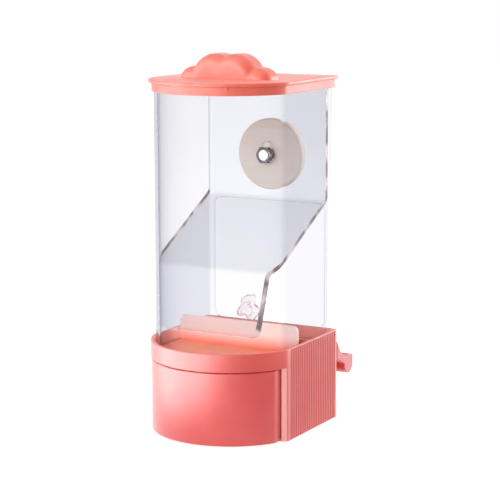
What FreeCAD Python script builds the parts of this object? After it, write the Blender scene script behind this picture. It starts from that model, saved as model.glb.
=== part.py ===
import FreeCAD, Part
import math
import os

from FreeCAD import Vector

# Automatic bird feeder for a cage, in millimetres.
# A clear D-shaped seed bin stands in a moulded base with a husk drawer. A bent clear sheet
# carries the seed from the bin down to the round front, and from there it runs back under
# the sheet into a shallow tray. The bird perches behind the base and feeds through a window
# in the bin's flat back. A bolt and a wooden disc clamp the flat back to the cage's wires.
# +Z is up, +Y points at the cage, and the origin is the centre of the base's underside.

# Plan of the whole feeder: flat back, flat sides and a bowed front
body_width = 78.0
body_depth = 84.2
front_bow = 28.6
back_corner_radius = 2.5
side_shoulder_radius = 12.0

# Moulded base
base_height = 46.4
base_wall = 3.0
rim_wall = 1.5
rim_edge_chamfer = 0.5
seam_height = 37.4
shelf_thickness = 1.5
shelf_reach = 1.5
floor_thickness = 1.5
wall_end_reach = 0.9
wall_end_slant = 1.0
rib_pitch = 2.0
rib_groove_width = 1.1
rib_groove_depth = 0.4
rib_margin = 3.0

# Husk drawer
drawer_front_step = 0.4
drawer_side_gap = 0.4
drawer_back_gap = 0.5
drawer_under_gap = 0.2
drawer_foot_gap = 0.4
drawer_seam_gap = 0.6
drawer_front_wall = 2.4
drawer_wall = 1.8
drawer_floor = 1.6
drawer_corner_radius = 5.0
drawer_back_radius = 3.0
drawer_back_drop = 4.0
drawer_edge_chamfer = 0.4

# Seed tray that drops onto the base's shelf
tray_gap = 0.3
tray_thickness = 1.5
divider_y = 5.0
divider_thickness = 1.6
divider_height = 13.5
divider_end_gap = 0.3
divider_corner_radius = 3.0
husk_hole_margin = 5.0
husk_hole_radius = 3.0

# Clear bin
bin_inset = 2.7
bin_wall = 1.8
bin_height = 135.2
bin_corner_radius = 1.6
bin_inner_corner = 0.4
window_sill = 6.5
window_height = 64.5
window_post = 2.0
window_radius = 4.0

# Bent clear sheet inside the bin
sheet_thickness = 2.2
sheet_side_gap = 0.15
sheet_top_gap = 1.0
sheet_slope_top = 73.1
sheet_slope_foot = 42.9
sheet_slope_run = 56.5
sheet_bottom_gap = 12.3
sheet_lean = 4.7
sheet_bend_radius = 4.0

# Lid with a cloud for its knob
lid_inset = 0.1
lid_plate = 1.7
lid_edge_chamfer = 0.5
lid_skirt_drop = 4.3
lid_skirt_wall = 0.8
lid_skirt_gap = 0.2
cloud_y = -2.6
cloud_wall = 2.2
big_lobe_x = 5.6
big_lobe_radius = 12.3
big_lobe_sink = 0.0
big_lobe_reach = 9.5
small_lobe_x = 18.0
small_lobe_radius = 7.95
small_lobe_sink = 2.15
small_lobe_reach = 8.8
lobe_end_radius = 6.2
lobe_end_steps = 4
pocket_width_share = 0.7
gate_nub_radius = 0.7
gate_nub_height = 2.0
gate_nub_angle = 27.0

# Cage clamp: bolt, wooden disc, washer and wing nut
bolt_height = 95.1
bolt_radius = 2.5
bolt_length = 25.0
bolt_head_flats = 8.0
bolt_head_height = 2.8
bolt_chamfer = 0.5
slot_side_gap = 0.4
slot_rise = 3.9
disc_radius = 18.5
disc_thickness = 5.0
disc_edge_chamfer = 0.7
disc_bore_gap = 0.1
washer_radius = 7.5
washer_thickness = 1.0
nut_bore_gap = 0.05
nut_foot_radius = 5.0
nut_top_radius = 4.0
nut_height = 5.0
wing_span = 24.0
wing_height = 11.0
wing_thickness = 2.2
wing_root = 1.2
wing_tip_radius = 3.2

# Perch behind the base
perch_y = 55.8
perch_top = 29.4
perch_bar_width = 9.6
perch_bar_height = 9.2
perch_end_inset = 0.5
perch_wall = 1.4
perch_groove_depth = 5.0
perch_arm_thickness = 3.0
perch_arm_top = 39.4
perch_arm_foot = 30.6
perch_arm_knee = 4.3
perch_arm_knee_top = 32.8
perch_arm_toe = 26.0

# Levels and planes worked out from the sizes above
half_width = body_width / 2
back_y = body_depth / 2
front_radius = (half_width ** 2 + front_bow ** 2) / (2 * front_bow)
front_centre_y = -back_y + front_radius
shelf_top = seam_height + shelf_thickness
tray_top = shelf_top + tray_thickness
bin_top = tray_top + bin_height
lid_top = bin_top + lid_plate
bin_half = half_width - bin_inset
bin_back = back_y - bin_inset
inner_half = bin_half - bin_wall
inner_back = bin_back - bin_wall
inner_radius = front_radius - bin_inset - bin_wall
bolt_z = tray_top + bolt_height


def outline(half, back, radius):
    """Closed D: straight back and sides, and a front arc about the common front centre."""
    side_end = front_centre_y - math.sqrt(radius ** 2 - half ** 2)
    left = Vector(-half, side_end, 0)
    right = Vector(half, side_end, 0)
    back_right = Vector(half, back, 0)
    back_left = Vector(-half, back, 0)
    nose = Vector(0, front_centre_y - radius, 0)
    edges = [
        Part.Arc(left, nose, right).toShape(),
        Part.LineSegment(right, back_right).toShape(),
        Part.LineSegment(back_right, back_left).toShape(),
        Part.LineSegment(back_left, left).toShape(),
    ]
    return Part.Wire(edges)


def upright_edges(shape, x, y):
    """Vertical straight edges that stand at plus or minus x and at y."""
    found = []
    for edge in shape.Edges:
        first = edge.Vertexes[0].Point
        last = edge.Vertexes[-1].Point
        upright = abs(first.z - last.z) > 0.1 and (first - last).Length - abs(first.z - last.z) < 1e-4
        if upright and abs(abs(first.x) - x) < 1e-3 and abs(first.y - y) < 1e-3:
            found.append(edge)
    return found


def column(half, back, radius, low, high, corner, shoulder):
    """Upright D between two levels, with rounded back corners and rounded side ends."""
    face = Part.Face(outline(half, back, radius))
    face.translate(Vector(0, 0, low))
    solid = face.extrude(Vector(0, 0, high - low))
    if corner > 0:
        solid = solid.makeFillet(corner, upright_edges(solid, half, back))
    if shoulder > 0:
        side_end = front_centre_y - math.sqrt(radius ** 2 - half ** 2)
        solid = solid.makeFillet(shoulder, upright_edges(solid, half, side_end))
    return solid


def inset_column(inset, low, high):
    """Upright D that follows the feeder's plan at an even distance inside it."""
    corner = max(back_corner_radius - inset, 0.6)
    shoulder = max(side_shoulder_radius - inset, 0.6)
    return column(half_width - inset, back_y - inset, front_radius - inset, low, high, corner, shoulder)


def block(x0, x1, y0, y1, z0, z1):
    """Box between two corners."""
    return Part.makeBox(x1 - x0, y1 - y0, z1 - z0, Vector(x0, y0, z0))


def prism(points, path):
    """Polygon carried along a straight path."""
    wire = Part.makePolygon(points + [points[0]])
    return Part.Face(wire).extrude(path)


def level_edges(shape, z):
    """Edges that lie all along one level."""
    found = []
    for edge in shape.Edges:
        box = edge.BoundBox
        if abs(box.ZMin - z) < 1e-4 and abs(box.ZMax - z) < 1e-4:
            found.append(edge)
    return found


def round_window(half, low, high, y0, y1, radius):
    """Rounded upright rectangle that runs along Y, for cutting windows."""
    solid = block(-half, half, y0, y1, low, high)
    edges = [e for e in solid.Edges if abs(e.BoundBox.YLength - (y1 - y0)) < 1e-4]
    return solid.makeFillet(radius, edges)


def bolt_slot(y0, y1):
    """Upright slot that the bolt can rise in, as a solid along Y for cutting."""
    radius = bolt_radius + slot_side_gap
    along = Vector(0, 1, 0)
    foot = Part.makeCylinder(radius, y1 - y0, Vector(0, y0, bolt_z), along)
    head = Part.makeCylinder(radius, y1 - y0, Vector(0, y0, bolt_z + slot_rise), along)
    return foot.fuse([head, block(-radius, radius, y0, y1, bolt_z, bolt_z + slot_rise)])


def make_base_body():
    """Base moulding: floor, two ribbed sides, back wall, front band, rim and tray shelf."""
    side_end = front_centre_y - math.sqrt(front_radius ** 2 - half_width ** 2)
    body = inset_column(0, 0, base_height)
    body = body.makeChamfer(rim_edge_chamfer, level_edges(body, base_height))
    body = body.cut(inset_column(base_wall, floor_thickness, seam_height))
    passage = half_width - base_wall
    body = body.cut(block(-passage, passage, -back_y, 0, floor_thickness, seam_height))
    body = body.cut(inset_column(base_wall + shelf_reach, seam_height, shelf_top))
    body = body.cut(inset_column(rim_wall, shelf_top, base_height))

    # The front below the band is open for the drawer. The wall ends are cut on a slant.
    reach = 10.0
    slope = wall_end_slant / base_wall
    outer_end = side_end - wall_end_reach
    inner_end = outer_end - wall_end_slant
    doorway = prism([
        Vector(-half_width - reach, -back_y - reach, -reach),
        Vector(half_width + reach, -back_y - reach, -reach),
        Vector(half_width + reach, outer_end + reach * slope, -reach),
        Vector(half_width - base_wall, inner_end, -reach),
        Vector(base_wall - half_width, inner_end, -reach),
        Vector(-half_width - reach, outer_end + reach * slope, -reach),
    ], Vector(0, 0, seam_height + reach))
    floor_inset = drawer_front_step + drawer_front_wall + drawer_foot_gap
    doorway = doorway.cut(inset_column(floor_inset, 0, floor_thickness))
    body = body.cut(doorway)

    # Fine upright grooves leave ribs on both flat sides.
    grooves = []
    run = back_y - side_end - 2 * rib_margin
    count = int(run / rib_pitch) + 1
    for index in range(count):
        y = side_end + rib_margin + index * rib_pitch
        for side in (-1, 1):
            x = side * half_width
            grooves.append(prism([
                Vector(x + side * rib_groove_depth, y - rib_groove_width, 0),
                Vector(x - side * rib_groove_depth, y, 0),
                Vector(x + side * rib_groove_depth, y + rib_groove_width, 0),
            ], Vector(0, 0, base_height)))
    return body.cut(grooves)


def make_seed_tray():
    """Drop-in plate with the divider that keeps seed in front and lets husks fall behind."""
    inset = rim_wall + tray_gap
    plate = inset_column(inset, shelf_top, tray_top)
    divider_back = divider_y + divider_thickness
    hole = block(
        husk_hole_margin + bin_inset - half_width, half_width - bin_inset - husk_hole_margin,
        divider_back, back_y - bin_inset - husk_hole_margin, shelf_top, tray_top)
    corners = [e for e in hole.Edges if abs(e.BoundBox.ZLength - tray_thickness) < 1e-4]
    plate = plate.cut(hole.makeFillet(husk_hole_radius, corners))
    end = inner_half - divider_end_gap
    divider = block(-end, end, divider_y, divider_back, tray_top, tray_top + divider_height)
    top_corners = []
    for edge in divider.Edges:
        box = edge.BoundBox
        if abs(box.YLength - divider_thickness) < 1e-4 and box.ZMin > tray_top + divider_height / 2:
            top_corners.append(edge)
    divider = divider.makeFillet(divider_corner_radius, top_corners)
    return plate.fuse(divider).removeSplitter()


def make_drawer():
    """Husk drawer: a D-shaped box whose bowed front fills the doorway under the band."""
    half = half_width - base_wall - drawer_side_gap
    back = back_y - base_wall - drawer_back_gap
    radius = front_radius - drawer_front_step
    bottom = floor_thickness + drawer_under_gap
    top = seam_height - drawer_seam_gap
    box = column(half, back, radius, bottom, top, drawer_back_radius, drawer_corner_radius)

    # The bowed front reaches down past the base's floor to just above the table.
    foot = column(half, back, radius, drawer_foot_gap, bottom, drawer_back_radius, drawer_corner_radius)
    behind = Part.makeCylinder(radius - drawer_front_wall, bottom, Vector(0, front_centre_y, 0))
    side_end = front_centre_y - math.sqrt(front_radius ** 2 - half_width ** 2)
    rear = block(-half_width, half_width, side_end - wall_end_reach - 2 * wall_end_slant, back_y, 0, bottom)
    box = box.fuse(foot.cut([behind, rear])).removeSplitter()

    inside = column(
        half - drawer_wall, back - drawer_wall, radius - drawer_front_wall,
        bottom + drawer_floor, top, drawer_back_radius - 1.0, drawer_corner_radius - 2.0)
    box = box.cut(inside)
    low_back = block(-half_width, half_width, back - drawer_back_radius - drawer_wall, back_y,
                     top - drawer_back_drop, top)
    box = box.cut(low_back)
    nose = [e for e in level_edges(box, top) if e.BoundBox.YMin < front_centre_y - radius + 0.1]
    return box.makeChamfer(drawer_edge_chamfer, nose)


def make_bin():
    """Clear bin: a D tube with the feeding window and the bolt's slot in its flat back."""
    outer = column(bin_half, bin_back, front_radius - bin_inset, tray_top, bin_top,
                   bin_corner_radius, side_shoulder_radius - bin_inset)
    inner = column(inner_half, inner_back, inner_radius, tray_top, bin_top,
                   bin_inner_corner, side_shoulder_radius - bin_inset - bin_wall)
    shell = outer.cut(inner)
    sill = tray_top + window_sill
    reach = 2.0
    window = round_window(inner_half - window_post, sill, sill + window_height,
                          inner_back - reach, bin_back + reach, window_radius)
    return shell.cut([window, bolt_slot(inner_back - reach, bin_back + reach)])


def thick_path(points, thickness):
    """Outline of a bent strip in the YZ plane: the path and its mitred parallel."""
    count = len(points)
    normals = []
    for index in range(count - 1):
        step = points[index + 1] - points[index]
        step.normalize()
        normals.append(Vector(0, -step.z, step.y))
    parallel = []
    for index in range(count):
        before = normals[max(index - 1, 0)]
        after = normals[min(index, count - 2)]
        middle = before + after
        middle.normalize()
        parallel.append(points[index] + middle * (thickness / middle.dot(after)))
    return points + parallel[::-1]


def make_sheet():
    """Bent clear sheet: flat on the back wall, a slope to the front, then nearly upright."""
    back = inner_back
    slope_top = Vector(0, back, tray_top + sheet_slope_top)
    slope_foot = Vector(0, back - sheet_slope_run, tray_top + sheet_slope_foot)
    path = [
        Vector(0, back, bin_top - sheet_top_gap),
        slope_top,
        slope_foot,
        Vector(0, slope_foot.y - sheet_lean, tray_top + sheet_bottom_gap),
    ]
    section = thick_path(path, -sheet_thickness)
    width = 2 * bin_half
    strip = prism([p + Vector(-bin_half, 0, 0) for p in section], Vector(width, 0, 0))
    bends = []
    for edge in strip.Edges:
        box = edge.BoundBox
        inner_bend = abs(box.ZMin - slope_top.z) < 2 * sheet_thickness
        outer_bend = abs(box.ZMin - slope_foot.z) < 2 * sheet_thickness
        if abs(box.XLength - width) < 1e-4 and (inner_bend or outer_bend):
            bends.append(edge)
    strip = strip.makeFillet(sheet_bend_radius, bends)
    room = column(inner_half - sheet_side_gap, back, inner_radius - sheet_side_gap, tray_top, bin_top,
                  0, side_shoulder_radius - bin_inset - bin_wall - sheet_side_gap)
    sheet = strip.common(room)
    reach = 2.0
    return sheet.cut(bolt_slot(back - sheet_thickness - reach, back + reach))


def lobe(x, radius, sink, reach):
    """One puff of the cloud: a short round bar along Y whose ends are rounded in even steps."""
    end = min(lobe_end_radius, 0.9 * radius, 0.9 * reach)
    height = lid_top - sink
    first = Vector(x, cloud_y - reach, height)
    turns = [math.pi / 2 * step / lobe_end_steps for step in range(lobe_end_steps + 1)]
    points = [first]
    for side, order in ((-1, turns[::-1]), (1, turns)):
        for turn in order:
            y = cloud_y + side * (reach - end + end * math.sin(turn))
            points.append(Vector(x, y, height + radius - end + end * math.cos(turn)))
    points.append(Vector(x, cloud_y + reach, height))
    half_section = Part.Face(Part.makePolygon(points + [first]))
    return half_section.revolve(first, Vector(0, 1, 0), 360)


def pocket(x, radius, sink, reach):
    """Round-topped hollow that stays inside one puff and leaves a wall all round."""
    half = reach - cloud_wall
    return Part.makeCylinder(pocket_width_share * (radius - cloud_wall), 2 * half,
                             Vector(x, cloud_y - half, lid_top - sink), Vector(0, 1, 0))


def cloud(make_puff):
    """The four puffs of the cloud side by side, or their four hollows."""
    puffs = []
    for side in (-1, 1):
        puffs.append(make_puff(side * big_lobe_x, big_lobe_radius, big_lobe_sink, big_lobe_reach))
        puffs.append(make_puff(side * small_lobe_x, small_lobe_radius, small_lobe_sink, small_lobe_reach))
    return puffs[0].fuse(puffs[1:])


def make_lid():
    """Lid: a plate with a thin skirt round the bin's mouth and a hollow cloud as its knob."""
    plate = inset_column(lid_inset, bin_top, lid_top)
    plate = plate.makeChamfer(lid_edge_chamfer, level_edges(plate, lid_top))
    skirt_inner = bin_inset - lid_skirt_gap
    skirt = inset_column(skirt_inner - lid_skirt_wall, bin_top - lid_skirt_drop, bin_top)
    skirt = skirt.cut(inset_column(skirt_inner, bin_top - lid_skirt_drop, bin_top))
    above = block(-half_width, half_width, -back_y, back_y, bin_top, lid_top + 2 * big_lobe_radius)
    lid = plate.fuse([skirt, cloud(lobe).common(above)])
    lid = lid.cut(cloud(pocket)).removeSplitter()

    # The little stub that the mould's gate leaves on the skirt
    angle = math.radians(gate_nub_angle)
    skirt_radius = front_radius - skirt_inner + lid_skirt_wall
    spot = Vector(skirt_radius * math.sin(angle), front_centre_y - skirt_radius * math.cos(angle),
                  bin_top - gate_nub_height)
    return lid.fuse(Part.makeCylinder(gate_nub_radius, gate_nub_height, spot))


def make_bolt():
    """Hexagon bolt from inside the bin out through the sheet, the wall and the disc."""
    face = inner_back - sheet_thickness
    corner = bolt_head_flats / math.sqrt(3)
    points = []
    for index in range(6):
        angle = math.radians(60 * index + 30)
        points.append(Vector(corner * math.cos(angle), face - bolt_head_height,
                             bolt_z + corner * math.sin(angle)))
    head = prism(points, Vector(0, bolt_head_height, 0))
    along = Vector(0, 1, 0)
    crown = Part.makeCone(bolt_head_flats / 2 - bolt_chamfer, bolt_head_flats / 2 + 3 * bolt_head_height,
                          bolt_head_height + bolt_chamfer, Vector(0, face - bolt_head_height, bolt_z), along)
    head = head.common(crown)
    shank = Part.makeCylinder(bolt_radius, bolt_length, Vector(0, face, bolt_z), along)
    end = [e for e in shank.Edges if abs(e.BoundBox.YMin - face - bolt_length) < 1e-4]
    shank = shank.makeChamfer(bolt_chamfer, end)
    return head.fuse(shank).removeSplitter()


def ring(radius, bore, thickness, y):
    """Flat round ring on the bolt's line."""
    along = Vector(0, 1, 0)
    disc = Part.makeCylinder(radius, thickness, Vector(0, y, bolt_z), along)
    return disc.cut(Part.makeCylinder(bore, thickness, Vector(0, y, bolt_z), along))


def make_disc():
    """Wooden disc that presses the cage's wires against the bin's flat back."""
    disc = ring(disc_radius, bolt_radius + disc_bore_gap, disc_thickness, bin_back)
    rims = [e for e in disc.Edges if e.BoundBox.XLength > disc_radius]
    return disc.makeChamfer(disc_edge_chamfer, [e for e in rims if e.BoundBox.YLength < 1e-4])


def make_washer():
    """Steel washer between the wooden disc and the wing nut."""
    return ring(washer_radius, bolt_radius + disc_bore_gap, washer_thickness, bin_back + disc_thickness)


def make_wing_nut():
    """Wing nut: a tapered boss with two rounded wings that lean outwards."""
    y = bin_back + disc_thickness + washer_thickness
    along = Vector(0, 1, 0)
    boss = Part.makeCone(nut_foot_radius, nut_top_radius, nut_height, Vector(0, y, bolt_z), along)
    tip = wing_span / 2 - wing_tip_radius
    half = wing_thickness / 2
    wings = []
    for side in (-1, 1):
        root = prism([
            Vector(0, y + wing_root, bolt_z - half),
            Vector(side * nut_foot_radius, y + wing_root, bolt_z - half),
            Vector(side * (wing_span / 2 - 0.4), y + wing_height - wing_tip_radius, bolt_z - half),
            Vector(side * tip, y + wing_height, bolt_z - half),
            Vector(side * nut_top_radius * 0.8, y + nut_height, bolt_z - half),
            Vector(0, y + nut_height, bolt_z - half),
        ], Vector(0, 0, wing_thickness))
        pad = Part.makeCylinder(wing_tip_radius, wing_thickness,
                                Vector(side * tip, y + wing_height - wing_tip_radius, bolt_z - half),
                                Vector(0, 0, 1))
        wings.append(root.fuse(pad))
    nut = boss.fuse(wings)
    hole = Part.makeCylinder(bolt_radius + nut_bore_gap, wing_height, Vector(0, y, bolt_z), along)
    return nut.cut(hole).removeSplitter()


def make_perch():
    """Perch: a channel with a round bottom, hung from the base's back by two sloping arms."""
    end = half_width - perch_end_inset
    half_bar = perch_bar_width / 2
    bar_centre = perch_top - perch_bar_height + half_bar
    bar = Part.makeCylinder(half_bar, 2 * end, Vector(-end, perch_y, bar_centre), Vector(1, 0, 0))
    bar = bar.fuse(block(-end, end, perch_y - half_bar, perch_y + half_bar, bar_centre, perch_top))
    bar = bar.removeSplitter()
    arms = []
    for side in (-1, 1):
        x0 = side * end
        arms.append(prism([
            Vector(x0, back_y, perch_arm_foot),
            Vector(x0, back_y, perch_arm_top),
            Vector(x0, back_y + perch_arm_knee, perch_arm_knee_top),
            Vector(x0, perch_y - 0.6 * half_bar, perch_top),
            Vector(x0, perch_y, bar_centre),
            Vector(x0, perch_y - half_bar, perch_arm_toe),
        ], Vector(-side * perch_arm_thickness, 0, 0)))
    groove_end = end - perch_wall
    half_groove = half_bar - perch_wall
    groove = block(-groove_end, groove_end, perch_y - half_groove, perch_y + half_groove,
                   perch_top - perch_groove_depth, perch_top)
    return bar.fuse(arms).removeSplitter().cut(groove)


def main():
    os.makedirs("parts", exist_ok=True)
    pieces = {
        "base_body": make_base_body(),
        "seed_tray": make_seed_tray(),
        "husk_drawer": make_drawer(),
        "clear_bin": make_bin(),
        "baffle_sheet": make_sheet(),
        "lid": make_lid(),
        "clamp_bolt": make_bolt(),
        "clamp_disc": make_disc(),
        "disc_washer": make_washer(),
        "wing_nut": make_wing_nut(),
        "perch_bar": make_perch(),
    }
    for name, shape in pieces.items():
        shape.exportStep(os.path.join("parts", name + ".step"))
        box = shape.BoundBox
        print(name, "solids", len(shape.Solids), "valid", shape.isValid(), "volume", round(shape.Volume, 1),
              "z", round(box.ZMin, 2), round(box.ZMax, 2), "y", round(box.YMin, 2), round(box.YMax, 2))


main()
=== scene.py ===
# %% [markdown]
# # A seed feeder for a bird cage
# The real object is a clear bin with a round front, standing in a salmon pink base. Seed runs
# down a bent clear sheet inside the bin, and the bird eats through a window in the flat back.
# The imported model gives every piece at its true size. This lesson gives each piece its finish,
# and where the eye comes close it remakes the piece as a finer surface of the same size.

# %% Load the frame
import math
from collections import namedtuple

import bmesh
import bpy
import numpy as np
from mathutils import Matrix, Vector


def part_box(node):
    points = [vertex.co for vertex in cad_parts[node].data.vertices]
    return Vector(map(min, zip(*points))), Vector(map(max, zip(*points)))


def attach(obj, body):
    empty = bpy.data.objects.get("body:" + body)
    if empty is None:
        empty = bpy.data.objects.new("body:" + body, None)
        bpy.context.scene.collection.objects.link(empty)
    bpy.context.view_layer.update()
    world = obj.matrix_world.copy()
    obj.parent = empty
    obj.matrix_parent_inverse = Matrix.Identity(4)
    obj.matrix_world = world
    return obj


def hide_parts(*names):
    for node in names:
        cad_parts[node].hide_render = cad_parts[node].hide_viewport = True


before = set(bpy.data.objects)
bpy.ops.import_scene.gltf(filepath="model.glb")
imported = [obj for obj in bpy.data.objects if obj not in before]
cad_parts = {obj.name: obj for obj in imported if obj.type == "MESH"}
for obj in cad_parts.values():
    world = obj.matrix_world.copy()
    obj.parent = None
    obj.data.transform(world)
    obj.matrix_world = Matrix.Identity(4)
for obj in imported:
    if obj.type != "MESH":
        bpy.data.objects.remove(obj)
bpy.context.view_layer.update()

# %% [markdown]
# ## Sizes come from the model
# Nothing is measured twice. Each node's box gives the sizes that a finer surface needs, so a
# piece lands exactly where the solid is. All shapes below are worked out in millimetres, and
# only the last step turns them into metres.

# %% Read the main sizes
MM = 0.001


def corners(node):
    """Lowest and highest corner of a node, in millimetres."""
    low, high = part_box(node)
    return np.array(low) / MM, np.array(high) / MM


base_high = corners("base_body")[1]
half_width = base_high[0]
back_y = base_high[1]
base_height = base_high[2]
front_bow = 28.6
front_radius = (half_width ** 2 + front_bow ** 2) / (2 * front_bow)
front_centre_y = -back_y + front_radius
side_end_y = front_centre_y - math.sqrt(front_radius ** 2 - half_width ** 2)
print("base half width", round(half_width, 2), "front radius", round(front_radius, 2))

# %% [markdown]
# ## The base's own sizes
# The base is the piece that the others stand in or on, so its inner heights and walls are
# needed by several finishes and pieces. They are written once, in millimetres.

# %% Sizes of the base
seam_height = 37.4
shelf_top = 38.9
base_wall = 3.0
rim_wall = 1.5
shelf_inset = 4.5
rib_pitch = 2.0
rib_depth = 0.4
rib_margin = 3.0
RIB_SIDE_POINTS = 8 * int((back_y + 16.5) / rib_pitch)
wall_end_y = side_end_y - 0.9
wall_end_slant = 1.0
print("flat sides from", round(side_end_y, 2), "points along a ribbed side", RIB_SIDE_POINTS)

# %% [markdown]
# ## One plan for every layer
# Seen from above, the base, drawer, tray, bin and lid are all the same D: a flat back, two flat
# sides and a front that is part of a circle. A function that walks round this D at any distance
# inside it is enough to carry a profile round every one of them.

# %% Walk round the D
Plan = namedtuple("Plan", "half back radius corner shoulder")
BASE_PLAN = Plan(half_width, back_y, front_radius, 2.5, 12.0)
BACK_POINTS, CORNER_POINTS, SHOULDER_POINTS, FRONT_POINTS = 24, 8, 14, 180


def inside(plan, distance):
    """The same D at an even distance inside: every size shrinks by that distance."""
    return Plan(plan.half - distance, plan.back - distance, plan.radius - distance,
                max(plan.corner - distance, 0.3), max(plan.shoulder - distance, 0.3))


def arc(x, y, radius, start, end, count):
    """Points at x + r cos t, y + r sin t, with the end point left to the next stretch."""
    turn = np.linspace(start, end, count, endpoint=False)
    return np.column_stack([x + radius * np.cos(turn), y + radius * np.sin(turn)])


def straight(start, end, count):
    """Even points from start towards end, with the end point left out."""
    share = np.linspace(0, 1, count, endpoint=False)[:, None]
    return np.array(start) * (1 - share) + np.array(end) * share


def plan_loop(plan, side_points=40):
    """The D as one closed row of points, anticlockwise from above.

    The shoulder circle of radius s touches the side and the front circle of radius R from
    inside, so its centre lies at half - s across, and R - s from the front circle's centre.
    """
    s, c = plan.shoulder, plan.corner
    across = plan.half - s
    down = math.sqrt((plan.radius - s) ** 2 - across ** 2)
    shoulder_y = front_centre_y - down
    swing = math.atan2(down, across)
    stretches = [
        straight((plan.half - c, plan.back), (c - plan.half, plan.back), BACK_POINTS),
        arc(c - plan.half, plan.back - c, c, math.pi / 2, math.pi, CORNER_POINTS),
        straight((-plan.half, plan.back - c), (-plan.half, shoulder_y), side_points),
        arc(-across, shoulder_y, s, math.pi, math.pi + swing, SHOULDER_POINTS),
        arc(0, front_centre_y, plan.radius, math.pi + swing, 2 * math.pi - swing, FRONT_POINTS),
        arc(across, shoulder_y, s, 2 * math.pi - swing, 2 * math.pi, SHOULDER_POINTS),
        straight((plan.half, shoulder_y), (plan.half, plan.back - c), side_points),
        arc(plan.half - c, plan.back - c, c, 0, math.pi / 2, CORNER_POINTS),
    ]
    return np.vstack(stretches)


print("points round the D:", len(plan_loop(BASE_PLAN)))

# %% [markdown]
# ## From rows of points to a solid skin
# Every shape here is a stack of closed rows. Neighbouring rows are joined by four-sided faces,
# and the first and last rows are either joined to each other, as in a ring, or closed by a lid
# of one face. The signed volume says whether the skin is inside out, and then it is turned.

# %% Rows and faces
def ring_rows(profile, side_points=40):
    """Rows of 3D points from a list of (plan, height): the D of each plan, lifted to its height."""
    rows = []
    for plan, height in profile:
        loop = plan_loop(plan, side_points)
        rows.append(np.column_stack([loop, np.broadcast_to(height, len(loop))]))
    return np.array(rows)


def skin_faces(rows, columns, ring):
    """Faces between neighbouring rows: (r, c), (r, c+1), (r+1, c+1), (r+1, c)."""
    first = np.arange(rows if ring else rows - 1)[:, None]
    column = np.arange(columns)[None, :]
    following = (first + 1) % rows
    beside = (column + 1) % columns
    quads = np.stack([first * columns + column, first * columns + beside,
                      following * columns + beside, following * columns + column], axis=-1)
    return quads.reshape(-1, 4).tolist()


def signed_volume(points, faces):
    """Sum of the tetrahedra from the origin to each face's triangles, positive if it faces out."""
    total = 0.0
    for face in faces:
        if len(face) == 4:
            continue
        a = points[face[0]]
        for second, third in zip(face[1:-1], face[2:]):
            total += np.dot(a, np.cross(points[second], points[third]))
    quads = np.array([face for face in faces if len(face) == 4])
    if len(quads):
        a, b, c, d = (points[quads[:, index]] for index in range(4))
        total += np.einsum("ij,ij->", a, np.cross(b, c)) + np.einsum("ij,ij->", a, np.cross(c, d))
    return total / 6


def skin(grid, ring=False):
    """Points and faces of one closed skin over a stack of rows, turned to face outwards."""
    rows, columns = grid.shape[:2]
    points = grid.reshape(-1, 3)
    faces = skin_faces(rows, columns, ring)
    if not ring:
        faces.append(list(range(columns))[::-1])
        faces.append(list(range((rows - 1) * columns, rows * columns)))
    if signed_volume(points, faces) < 0:
        faces = [face[::-1] for face in faces]
    return points, faces


print("faces between two rows of four points:", skin_faces(2, 4, False))

# %% [markdown]
# ## From a skin to a piece
# A piece can be several skins in one object. Its faces are shaded smooth, except across edges
# that turn sharply. Holes and joined parts come from an exact boolean, since the cut edge is
# then true, and the result is kept as the piece's own mesh. Each piece then gets its finish,
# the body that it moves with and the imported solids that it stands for.

# %% Make, cut and finish a piece
def new_piece(name, skins, crease=32.0):
    """One object from several skins, in metres, smooth except where faces meet sharply."""
    points, faces, start = [], [], 0
    for part_points, part_faces in skins:
        points.append(part_points)
        faces += [[index + start for index in face] for face in part_faces]
        start += len(part_points)
    mesh = bpy.data.meshes.new(name)
    mesh.from_pydata((np.vstack(points) * MM).tolist(), [], faces)
    mesh.update()
    mesh.shade_smooth()
    mesh.set_sharp_from_angle(angle=math.radians(crease))
    piece = bpy.data.objects.new(name, mesh)
    bpy.context.scene.collection.objects.link(piece)
    print(name, "faces", len(mesh.polygons))
    return piece


def carve(piece, tool, way="DIFFERENCE", crease=32.0):
    """Cuts a tool out of a piece, or joins it on, and keeps the result as the piece's mesh."""
    step = piece.modifiers.new("carve", "BOOLEAN")
    step.operation = way
    step.solver = "EXACT"
    step.object = tool
    seen = bpy.context.evaluated_depsgraph_get()
    mesh = bpy.data.meshes.new_from_object(piece.evaluated_get(seen))
    piece.modifiers.clear()
    piece.data = mesh
    mesh.shade_smooth()
    mesh.set_sharp_from_angle(angle=math.radians(crease))
    bpy.data.objects.remove(tool)
    print(piece.name, way.lower(), "faces", len(mesh.polygons))
    return piece


def finish_piece(piece, body, nodes, material):
    """Gives a piece its finish, the body it moves with and the solids it stands for."""
    piece.data.materials.clear()
    piece.data.materials.append(material)
    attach(piece, body)
    if nodes:
        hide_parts(*nodes)
    return piece


def rounded_edge(plan_a, plan_b, low, high, steps=5):
    """Quarter round from plan_a at height low to plan_b at height high, as profile rows.

    The distance follows 1 - cos t and the height follows sin t, so the edge starts upright.
    """
    rows = []
    for turn in np.linspace(0, math.pi / 2, steps):
        share = 1 - math.cos(turn)
        plan = Plan(*[a + (b - a) * share for a, b in zip(plan_a, plan_b)])
        rows.append((plan, low + (high - low) * math.sin(turn)))
    return rows


print("heights of a rounded edge from 0 to 1:",
      [round(height, 2) for _, height in rounded_edge(BASE_PLAN, inside(BASE_PLAN, 1.0), 0, 1)])


# %% [markdown]
# ## Building blocks for finishes
# A finish is a small graph of nodes. Most graphs need the same few parts: noise read from the
# piece's own place, a number stretched to another range, a blend of two colours and a fine
# relief. Each part could be wired by hand in every material. One helper that makes a node, sets
# it and wires it keeps the materials below short enough to read.

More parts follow.
